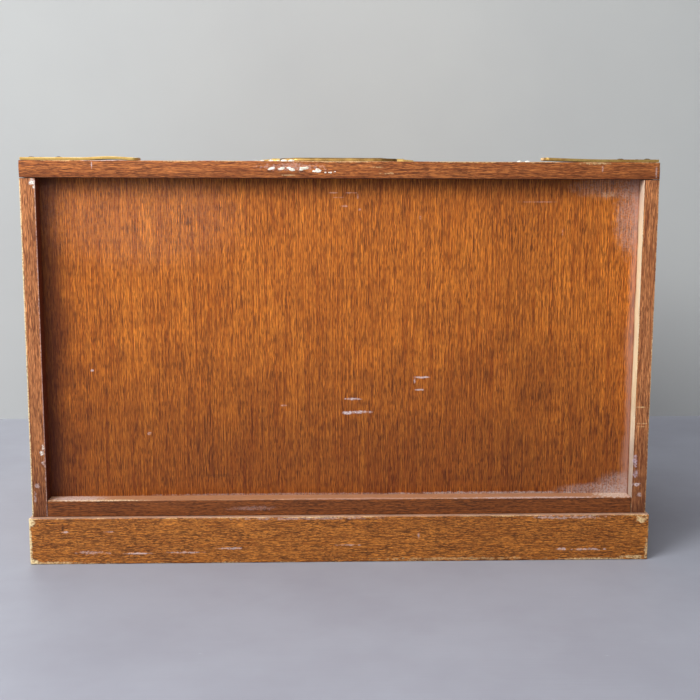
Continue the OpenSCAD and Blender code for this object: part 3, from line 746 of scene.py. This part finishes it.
def panel_finish():
    y = PANEL_MM
    marks = [
        ((6, y, 286.5), (5.0, 2, 0.6), 0.50, SORE_PINK, 0.6),
        ((-6, y, 286.5), (5.0, 2, 0.5), 0.50, SORE_PINK, 0.6),
        ((-12, y, 284), (0.6, 2, 2.2), 0.45, SORE_PINK, 0.6),
        ((2, y, 283), (5.0, 2, 0.5), 0.30, SORE_PINK, 0.6),
        ((-2, y, 276.5), (4.0, 2, 0.9), 0.42, SORE_PINK, 0.9),
        ((-14, y, 274), (1.2, 2, 1.4), 0.35, SORE_PINK, 0.9),
        ((-60, y, 268), (1.2, 2, 1.6), 0.30, SORE_PINK, 0.8),
        ((-8.5, y, 127), (7.0, 2, 1.0), 0.75, CHALK, 0.6),
        ((-13.5, y, 116.5), (12.5, 2, 1.3), 0.90, CHALK, 0.6),
        ((-5, y, 115.8), (5.0, 2, 1.2), 0.85, CHALK, 0.6),
        ((-62.5, y, 144), (6.5, 2, 0.9), 0.80, CHALK, 0.6),
        ((-61, y, 134), (4.0, 2, 0.8), 0.65, CHALK, 0.6),
        ((-57, y, 141), (0.8, 2, 2.5), 0.50, CHALK, 0.5),
        ((45, y, 122), (2.5, 2, 0.8), 0.40, CHALK, 0.8),
        ((193, y, 150), (1.4, 2, 1.2), 0.75, CHALK, 0.5),
        ((150, y, 100), (1.8, 2, 1.4), 0.40, CHALK, 0.8),
        ((95, y, 66), (16, 2, 2.0), 0.30, GRIME_AND_SHADE, 0.8),
        ((-205, y, 286), (6, 2, 2.6), 0.42, paint(226, 176, 130), 0.9),
        ((-150, y, 280), (16, 2, 0.5), 0.30, SORE_PINK, 0.7),
        ((-170, y, 257), (0.5, 2, 4.0), 0.40, SORE_PINK, 0.5),
        ((-222, y, 56), (22, 3, 13), 0.30, DUST, 0.2),
        ((-206, y, 53), (40, 3, 6), 0.30, DUST, 0.2),
        ((-222, y, 268), (14, 3, 34), 0.24, DUST, 0.35),
        ((-210, y, 291), (40, 3, 10), 0.16, DUST, 0.35),
        ((-120, y, 50.5), (90, 3, 1.6), 0.50, DUST, 0.6),
        ((40, y, 50.5), (120, 3, 1.2), 0.30, DUST, 0.6),
        ((150, y, 268), (90, 3, 46), 0.05, DUST, 0.2),
    ]
    # Painted shade: the film under the top board, the darkening towards the bottom, and the strong film
    # beside the +X side, where the recess shades the panel.
    dirt_and_shade = [(Z, 297.0, 12, 0.20, GRIME_AND_SHADE), (Z, 50.0, 170, 0.50, DEEP_RED), (X, -140.0, 36, 0.16, DEEP_RED),
            (X, 228.0, 30, 0.80, DEEP_RED), (X, -228.0, 7, 0.40, paint(222, 176, 160))]
    return wood("panel_varnish", PANEL_TONES, "Z", 0.0, 14.0, 0.48, 0.46, relief_mm=0.06, sway_mm=1.0,
                gloss=0.42, varnish=0.15, marks=marks, dirt_and_shade=dirt_and_shade)


def plinth_finish(node, along, seed):
    low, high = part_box(node)
    marks = []
    dirt_and_shade = [(Z, high.z / MM, 0.8, 0.45, paint(214, 184, 166))]
    if node == "plinth_rear":
        y = PLINTH_MM
        marks = [
            ((241, y, 34), (4.0, 3, 4.0), 0.95, RAW_WOOD, 0.6),
            ((241.6, y, 18), (2.0, 3, 30), 0.85, RAW_WOOD, 0.6),
            ((239, y, 2.0), (5.5, 3, 2.6), 0.95, RAW_WOOD, 0.6),
            ((222, y, 1.2), (20, 3, 1.3), 0.70, PALE_WOOD, 0.9),
            ((-236, y, 33), (5.5, 3, 3.4), 0.92, PALE_WOOD, 0.8),
            ((-241, y, 10), (2.2, 3, 9), 0.70, PALE_WOOD, 0.9),
            ((-230, y, 2.5), (12, 3, 1.8), 0.75, PALE_WOOD, 0.9),
            ((-196, y, 1.0), (34, 3, 1.1), 0.80, PALE_WOOD, 0.7),
            ((87, y, 12), (14, 3, 0.8), 0.45, CHALK, 1.0),
            ((-6, y, 14), (10, 3, 0.8), 0.40, CHALK, 1.0),
            ((-193, y, 9), (14, 3, 1.0), 0.55, CHALK, 1.2),
            ((-173, y, 9.5), (4, 3, 1.2), 0.60, CHALK, 0.9),
            ((192, y, 9.5), (14, 3, 1.6), 0.50, SORE_PINK, 1.1),
            ((158, y, 8.5), (13, 3, 0.8), 0.75, CHALK, 0.6),
            ((120, y, 9), (15, 3, 0.9), 0.45, CHALK, 0.9),
            ((181, y, 26), (5, 3, 0.7), 0.50, SORE_PINK, 0.9),
            ((216, y, 30), (1.0, 3, 4.5), 0.75, GRIME_AND_SHADE, 0.6),
            ((213.5, y, 26), (3.2, 3, 0.9), 0.70, CHALK, 0.7),
            ((20, y, 35.5), (60, 3, 1.0), 0.30, CHALK, 1.2),
            ((-180, y, 35), (30, 3, 1.4), 0.40, CHALK, 1.2),
            ((-90, y, 2.2), (60, 3, 1.2), 0.35, PALE_WOOD, 1.2),
            ((-60, y, 21), (1.2, 3, 3.0), 0.35, CHALK, 0.8),
        ]
    return wood(f"{node}_varnish", PLINTH_TONES, along, seed, 5.5, 0.60, 0.62, sway_mm=6.0, relief_mm=0.08,
                gloss=0.48, worn=0.8, board=(low, high), marks=marks, dirt_and_shade=dirt_and_shade)


def case_boards():
    """The case's five boards and the plinth's four, each worn in its own way."""
    # Finish, rounding of the arrises and of the upright corners in millimetres, and slot
    finish = {
        "top_board": (top_finish(), 0.5, 1.2, "case_wood"),
        "right_side": (side_finish("right_side", 2.2), 0.45, 0.0, "case_wood"),
        "left_side": (side_finish("left_side", 4.4), 0.45, 0.0, "case_wood"),
        "bottom_board": (sill_finish(), 0.6, 0.0, "case_wood"),
        "back_panel": (panel_finish(), 0.5, 0.0, "panel_wood"),
        "plinth_rear": (plinth_finish("plinth_rear", "X", 6.1), 0.9, 0.0, "case_wood"),
        "plinth_front": (plinth_finish("plinth_front", "X", 7.3), 0.9, 0.0, "case_wood"),
        "plinth_left": (plinth_finish("plinth_left", "Y", 8.2), 0.8, 0.0, "case_wood"),
        "plinth_right": (plinth_finish("plinth_right", "Y", 9.6), 0.8, 0.0, "case_wood"),
    }
    for node, (material, arris, corner, slot) in finish.items():
        show(worn_board(node, arris, corner), material, "case", [node])


def case_joinery():
    """What the boards hold between them: dowels, glue blocks, and the runners with their screws."""
    keep("case_dowels", wood("dowel_beech", DRAWER_TONES, "Z", 11.0, 8, 0.6, 0.3))
    keep("plinth_glue_blocks", wood("glue_block_pine", DRAWER_TONES, "Z", 12.0, 20, 1.2, 0.3))
    runner_wood = wood("runner_beech", DRAWER_TONES, "Y", 13.0, 14, 0.7, 0.35, varnish=0.0, gloss=0.55)
    steel = screw_metal("runner_screw_steel", 0.7)
    for side in ("left", "right"):
        show(from_frame(f"{side}_runners", 0.4), runner_wood, "case", [f"{side}_runners"])
    show(from_frame("runner_screws", 0.08), steel, "case", ["runner_screws"])


def corner_fittings():
    """Brass plates at the four top corners, and their dark screws."""
    for seed, corner in enumerate(("rear_right", "rear_left", "front_right", "front_left")):
        node = f"corner_plate_{corner}"
        # Brass tarnish, with less on the rear-right plate so it shows brighter, as a painted highlight where
        # the window light falls.
        tarnish = 0.45 if corner == "rear_right" else 0.62
        show(from_frame(node, 0.25), brass(f"{node}_brass", 0.31 * seed, tarnish), "case", [node])
    show(from_frame("corner_plate_screws", 0.12), screw_metal("plate_screw_brown"), "case",
         ["corner_plate_screws"])


# ---------- the lifting handle ----------

def lifting_handle():
    """Two screwed brackets, and a bail whose flat grip thins to round arms that end in pivot pins."""
    for side in ("left", "right"):
        node = f"handle_bracket_{side}"
        show(from_frame(node, 0.35, 3), brass(f"{node}_brass", 1.7 if side == "left" else 2.9, 0.62), "case",
             [node])
    show(from_frame("handle_screws", 0.12), screw_metal("handle_screw_brass", 0.4), "case",
         ["handle_screws"])

    low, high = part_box("handle_bail")
    pivot = Vector((0, MID_Y, (low.z + high.z) / 2))
    grip_wide, grip_thick, arm, pin = 11.0 * MM, 5.2 * MM, 2.1 * MM, 1.6 * MM
    grip_y = high.y - grip_wide / 2
    grip_end, shoulder_end, elbow, knuckle = 37.0 * MM, 41.4 * MM, 7.0 * MM, 2.2 * MM
    half_shoulder = (shoulder_end - grip_end) / 2
    arm_x = shoulder_end + elbow

    let_go()
    bpy.ops.mesh.primitive_circle_add(vertices=20, radius=grip_thick / 2, location=(0, grip_y, pivot.z),
                                      rotation=(0, math.pi / 2, 0))
    bail = bpy.context.active_object
    bail.name = "Handle_Bail"
    settle(bail)
    edit(bail)
    for side in (1, -1):
        shape = bmesh.from_edit_mesh(bail.data)
        for vert in shape.verts:
            vert.select_set((vert.co.y - grip_y) * side > 0.01 * MM)
        shape.select_flush(True)
        bmesh.update_edit_mesh(bail.data)
        bpy.ops.transform.translate(value=(0, side * (grip_wide - grip_thick) / 2, 0))
        bpy.ops.mesh.select_all(action="DESELECT")
    bpy.ops.mesh.select_all(action="SELECT")

    def draw_on(by, scale=None):
        bpy.ops.mesh.extrude_region_move(TRANSFORM_OT_translate={"value": tuple(by)})
        if scale:
            shape = bmesh.from_edit_mesh(bail.data)
            ring = [vert.co for vert in shape.verts if vert.select]
            middle = sum(ring, Vector()) / len(ring)
            bpy.ops.transform.resize(value=scale, center_override=tuple(middle))

    # The section shrinks in three steps from the grip's to the arm's.
    end_y, end_z = 0.97, 0.98
    shoulder_y, shoulder_z = 0.70, 0.93
    thin_y, thin_z = arm * 2 / grip_wide, arm * 2 / grip_thick
    draw_on((grip_end - 2 * MM, 0, 0))
    draw_on((2 * MM, 0, 0), (1, end_y, end_z))
    draw_on((half_shoulder, 0, 0), (1, shoulder_y, shoulder_z))
    draw_on((half_shoulder, 0, 0), (1, thin_y / (end_y * shoulder_y), thin_z / (end_z * shoulder_z)))
    bend_y = grip_y - elbow
    bpy.ops.mesh.spin(steps=7, angle=math.pi / 2, center=(shoulder_end, bend_y, pivot.z), axis=UP)
    draw_on((0, pivot.y + knuckle - bend_y, 0))
    turn_at = pivot + Vector((arm_x + knuckle, knuckle, 0))
    bpy.ops.mesh.spin(steps=4, angle=-math.pi / 2, center=turn_at, axis=UP)
    draw_on((0.25 * MM, 0, 0), (1, pin / arm, pin / arm))
    draw_on((high.x - arm_x - knuckle - 0.65 * MM, 0, 0))
    draw_on((0.4 * MM, 0, 0), (1, 0.7, 0.7))
    bpy.ops.mesh.edge_face_add()
    let_go()
    modify(bail, "MIRROR", use_axis=(True, False, False), use_clip=True, merge_threshold=0.01 * MM)
    edit(bail)
    bpy.ops.mesh.select_all(action="SELECT")
    bpy.ops.mesh.normals_make_consistent(inside=False)
    let_go()
    smooth(bail, 50)
    show(bail, brass("bail_brass", 4.2, 0.75, BAIL_TONES), "handle", ["handle_bail"])


# ---------- the drawers ----------

def drawer_front_finish(n):
    """Varnish rubbed along the arrises, and darkened round the pull by many hands."""
    low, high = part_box(f"drawer_{n}_front")
    middle_z = (low.z + high.z) / 2 / MM
    handled = [((0, low.y / MM, middle_z - 4), (66, 8, 22), 0.30, GRIME_AND_SHADE, 0.5),
               ((70 * math.sin(2.3 * n), low.y / MM, high.z / MM), (30, 5, 1.0), 0.45, PALE_WOOD, 0.9),
               ((190 * math.cos(1.7 * n), low.y / MM, middle_z), (9, 4, 0.6), 0.40, CHALK, 0.8)]
    return wood(f"drawer_{n}_front_varnish", CASE_TONES, "X", 14.0 + n, 11, 0.7, 0.48, varnish=0.2, worn=0.6,
                board=(low, high), marks=handled)


def drawers():
    """Six drawers of one shape. Each front has its own finish, and the other pieces share theirs."""
    # Material, slot, and softening of the edges in millimetres
    finishes = {
        "front": (None, "front_wood", 0.5),
        "box": (wood("drawer_side_beech", DRAWER_TONES, "Y", 15.0, 10, 0.7, 0.4, varnish=0.05, gloss=0.5),
                "pale_wood", 0.3),
        "floor": (wood("drawer_floor_ply", PLY_TONES, "X", 16.0, 12, 0.8, 0.4, varnish=0.0, gloss=0.6),
                  "plywood", 0.15),
        "partitions": (wood("partition_beech", DRAWER_TONES, "X", 17.0, 9, 0.6, 0.35, varnish=0.0,
                            gloss=0.55), "pale_wood", 0.25),
        "pull": (brass("pull_brass", 5.5, 0.55), "brass", 0.25),
    }
    screw_brass = screw_metal("pull_screw_brass", 1.9)
    top_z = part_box("drawer_1_front")[0].z
    for kind, (material, slot, arris) in finishes.items():
        first = from_frame(f"drawer_1_{kind}", arris)
        for n in range(2, DRAWERS + 1):
            drop = top_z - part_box(f"drawer_{n}_front")[0].z
            show(lowered(first, drop, f"Drawer_{n}_{kind.title()}"), material or drawer_front_finish(n),
                 f"drawer_{n}", [f"drawer_{n}_{kind}"])
        show(first, material or drawer_front_finish(1), "drawer_1", [f"drawer_1_{kind}"])
    for n in range(1, DRAWERS + 1):
        node = f"drawer_{n}_pull_screws"
        show(from_frame(node, 0.1), screw_brass, f"drawer_{n}", [node])


CARD_HALF = mm(29.0, 0.14, 7.5)
CARD_DEPTH = 0.26 * MM
WINDOW_RISE = 25.0 * MM


def label_cards():
    """A blank card in each pull's window, a little off its middle."""
    for n in range(1, DRAWERS + 1):
        plate_low, plate_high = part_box(f"drawer_{n}_pull")
        middle = Vector((0.4 * MM * math.sin(n * 2.1), plate_high.y - CARD_DEPTH, plate_low.z + WINDOW_RISE))
        card = block(f"Label_Card_{n}", middle - CARD_HALF, middle + CARD_HALF)
        edit(card)
        pick_edges(card, lambda a, b, e: abs((a - b).normalized().y) > 0.99)
        bpy.ops.mesh.bevel(offset=0.8 * MM, segments=3, affect="EDGES")
        edit(card)
        pick_edges(card, lambda a, b, e: abs(a.x - b.x) > 50 * MM)
        bpy.ops.mesh.subdivide(number_cuts=11)
        modify(card, "DISPLACE", texture=WARPED, texture_coords="LOCAL", strength=0.12 * MM, mid_level=0.5,
               direction="Y")
        smooth(card)
        show(card, paper(f"card_{n}_paper", n * 1.3), f"drawer_{n}")


# ---------- what has been spilt on it ----------

# Drops are (x, z, half width, half height) and lumps (x, half width, half height), in millimetres.
FACE_DROPS = ((53.3, 304.3, 2.5, 1.0), (46.2, 304.0, 2.4, 1.0), (38.0, 304.0, 2.7, 1.1),
              (28.5, 303.8, 3.4, 1.6), (19.9, 303.3, 3.0, 1.4), (12.8, 301.8, 0.8, 0.6),
              (9.2, 301.6, 1.2, 0.7), (5.9, 301.9, 0.8, 0.5))
ARRIS_LUMPS = ((64.0, 1.4, 0.3), (59.5, 1.5, 0.6), (53.2, 2.0, 0.9), (48.0, 1.2, 0.5), (43.5, 2.6, 1.0),
               (38.0, 2.2, 1.0), (-133.0, 1.8, 0.8), (-139.0, 2.2, 0.7))
BLOTS = 5
DROP_MM, LUMP_MM = 0.34, 1.1


def paint_splashes():
    """White house paint: flat drops on the top board's rear edge, and lumps on its arris."""
    chance = random.Random(11)
    drops = []

    def drop(at, size):
        let_go()
        bpy.ops.mesh.primitive_uv_sphere_add(segments=12, ring_count=7, radius=1, location=at, scale=size)
        piece = bpy.context.active_object
        settle(piece)
        drops.append(piece)

    for x, z, wide, tall in FACE_DROPS:
        for _ in range(BLOTS):
            aside, up = chance.uniform(-0.7, 0.7) * wide, chance.uniform(-0.8, 0.8) * tall
            share = chance.uniform(0.45, 0.85)
            drop(mm(x + aside, REAR_MM - 0.05, z + up), mm(wide * share, DROP_MM, tall * share))
    for x, wide, tall in ARRIS_LUMPS:
        drop(mm(x, REAR_MM - 1.0, TOP_MM + 0.05), mm(wide, LUMP_MM, tall))
        drop(mm(x + wide * chance.uniform(-0.8, 0.8), REAR_MM - 0.8, TOP_MM), mm(wide * 0.6, 0.9, tall * 0.7))
    let_go()
    for piece in drops:
        piece.select_set(True)
    bpy.context.view_layer.objects.active = drops[0]
    bpy.ops.object.join()
    splashes = bpy.context.active_object
    splashes.name = "Paint_Splashes"
    modify(splashes, "DISPLACE", texture=wear_texture("runny", 1.4), texture_coords="LOCAL",
           strength=0.7 * MM, mid_level=0.55)
    smooth(splashes, 60)
    show(splashes, splash("white_paint"), "case")


# ---------- the room ----------

FLOOR_TONE = (paint(160, 163, 174), paint(152, 154, 165))
WALL_TONE = (paint(206, 209, 207), paint(200, 203, 202))
WALL_Y = -390 * MM
ROOM_SPAN = 9.0


def sheet_of_room(name, centre, turn, material):
    let_go()
    bpy.ops.mesh.primitive_plane_add(size=ROOM_SPAN, location=centre, rotation=turn)
    sheet = bpy.context.active_object
    sheet.name = name
    sheet.data.materials.append(material)
    return sheet


def room():
    """A painted floor and a plain wall. From behind, the wall isn't there."""
    material, tree, shader, place = new_material("floor_paint")
    cloud = noise(tree, place, 7, 4, 0.6)
    brushed = noise(tree, vector_calc(tree, "MULTIPLY", place, (14.0, 220.0, 1.0)), 1, 3, 0.6)
    colour = mix(tree, ease(tree, cloud, 0.3, 0.7), *FLOOR_TONE)
    flaked = noise(tree, vector_calc(tree, "MULTIPLY", place, (70.0, 200.0, 1.0)), 1, 4, 0.65)
    chips = calc(tree, "MULTIPLY", ease(tree, flaked, 0.70, 0.76), 0.35)
    colour = mix(tree, chips, colour, paint(206, 208, 216))
    plug(tree, colour, shader["Base Color"])
    shader["Roughness"].default_value = 0.62
    shader["Specular IOR Level"].default_value = 0.3
    plug(tree, bump(tree, brushed, 0.2), shader["Normal"])
    sheet_of_room("floor", (0, 0, 0), (0, 0, 0), material)

    material, tree, shader, place = new_material("wall_paint")
    cloud = noise(tree, place, 2.2, 4, 0.6)
    plug(tree, mix(tree, ease(tree, cloud, 0.3, 0.7), *WALL_TONE), shader["Base Color"])
    shader["Roughness"].default_value = 0.85
    behind = add_node(tree, "NewGeometry").outputs["Backfacing"]
    clear = add_node(tree, "BsdfTransparent").outputs[0]
    blend = add_node(tree, "MixShader", {0: behind})
    tree.links.new(find_node(tree, "BSDF_PRINCIPLED").outputs[0], blend.inputs[1])
    tree.links.new(clear, blend.inputs[2])
    tree.links.new(blend.outputs[0], find_node(tree, "OUTPUT_MATERIAL").inputs["Surface"])
    wall = sheet_of_room("wall", (0, WALL_Y, 0), (-math.pi / 2, 0, 0), material)
    # Only the camera sees the wall, so it doesn't stand in the way of the lamp beyond it.
    wall.visible_shadow = False
    wall.visible_diffuse = False
    wall.visible_glossy = False


def lamp(name, at, target, energy, size):
    data = bpy.data.lights.new(name, "AREA")
    data.energy = energy
    data.size = size
    made = bpy.data.objects.new(name, data)
    made.location = at
    made.rotation_euler = (Vector(target) - Vector(at)).to_track_quat("-Z", "Y").to_euler()
    made.visible_camera = False
    scene.collection.objects.link(made)


def lighting():
    # Name, place, target, power and size
    lamp("window", (1.45, 1.35, 1.70), (0, 0.1, 0.15), 43, 1.1)
    lamp("near_window", (0.25, 0.80, 0.78), (0, 0.14, 0.25), 4.2, 0.7)
    lamp("room_side", (-1.8, 2.2, 1.4), (0, 0.1, 0.2), 4, 2.2)
    lamp("ceiling", (0.2, -0.2, 2.6), (0, 0, 0), 15, 2.4)
    lamp("far_side", (1.0, -2.3, 1.1), (0, 0, 0.12), 20, 1.6)
    world = bpy.data.worlds.new("room_light")
    world.use_nodes = True
    background = find_node(world.node_tree, "BACKGROUND")
    background.inputs["Color"].default_value = (0.94, 0.96, 1.0, 1)
    background.inputs["Strength"].default_value = 0.28
    scene.world = world
    scene.view_settings.view_transform = "Standard"


# ---------- putting it together ----------

add_camera()
lighting()
room()
case_boards()
case_joinery()
corner_fittings()
lifting_handle()
drawers()
label_cards()
paint_splashes()

let_go()
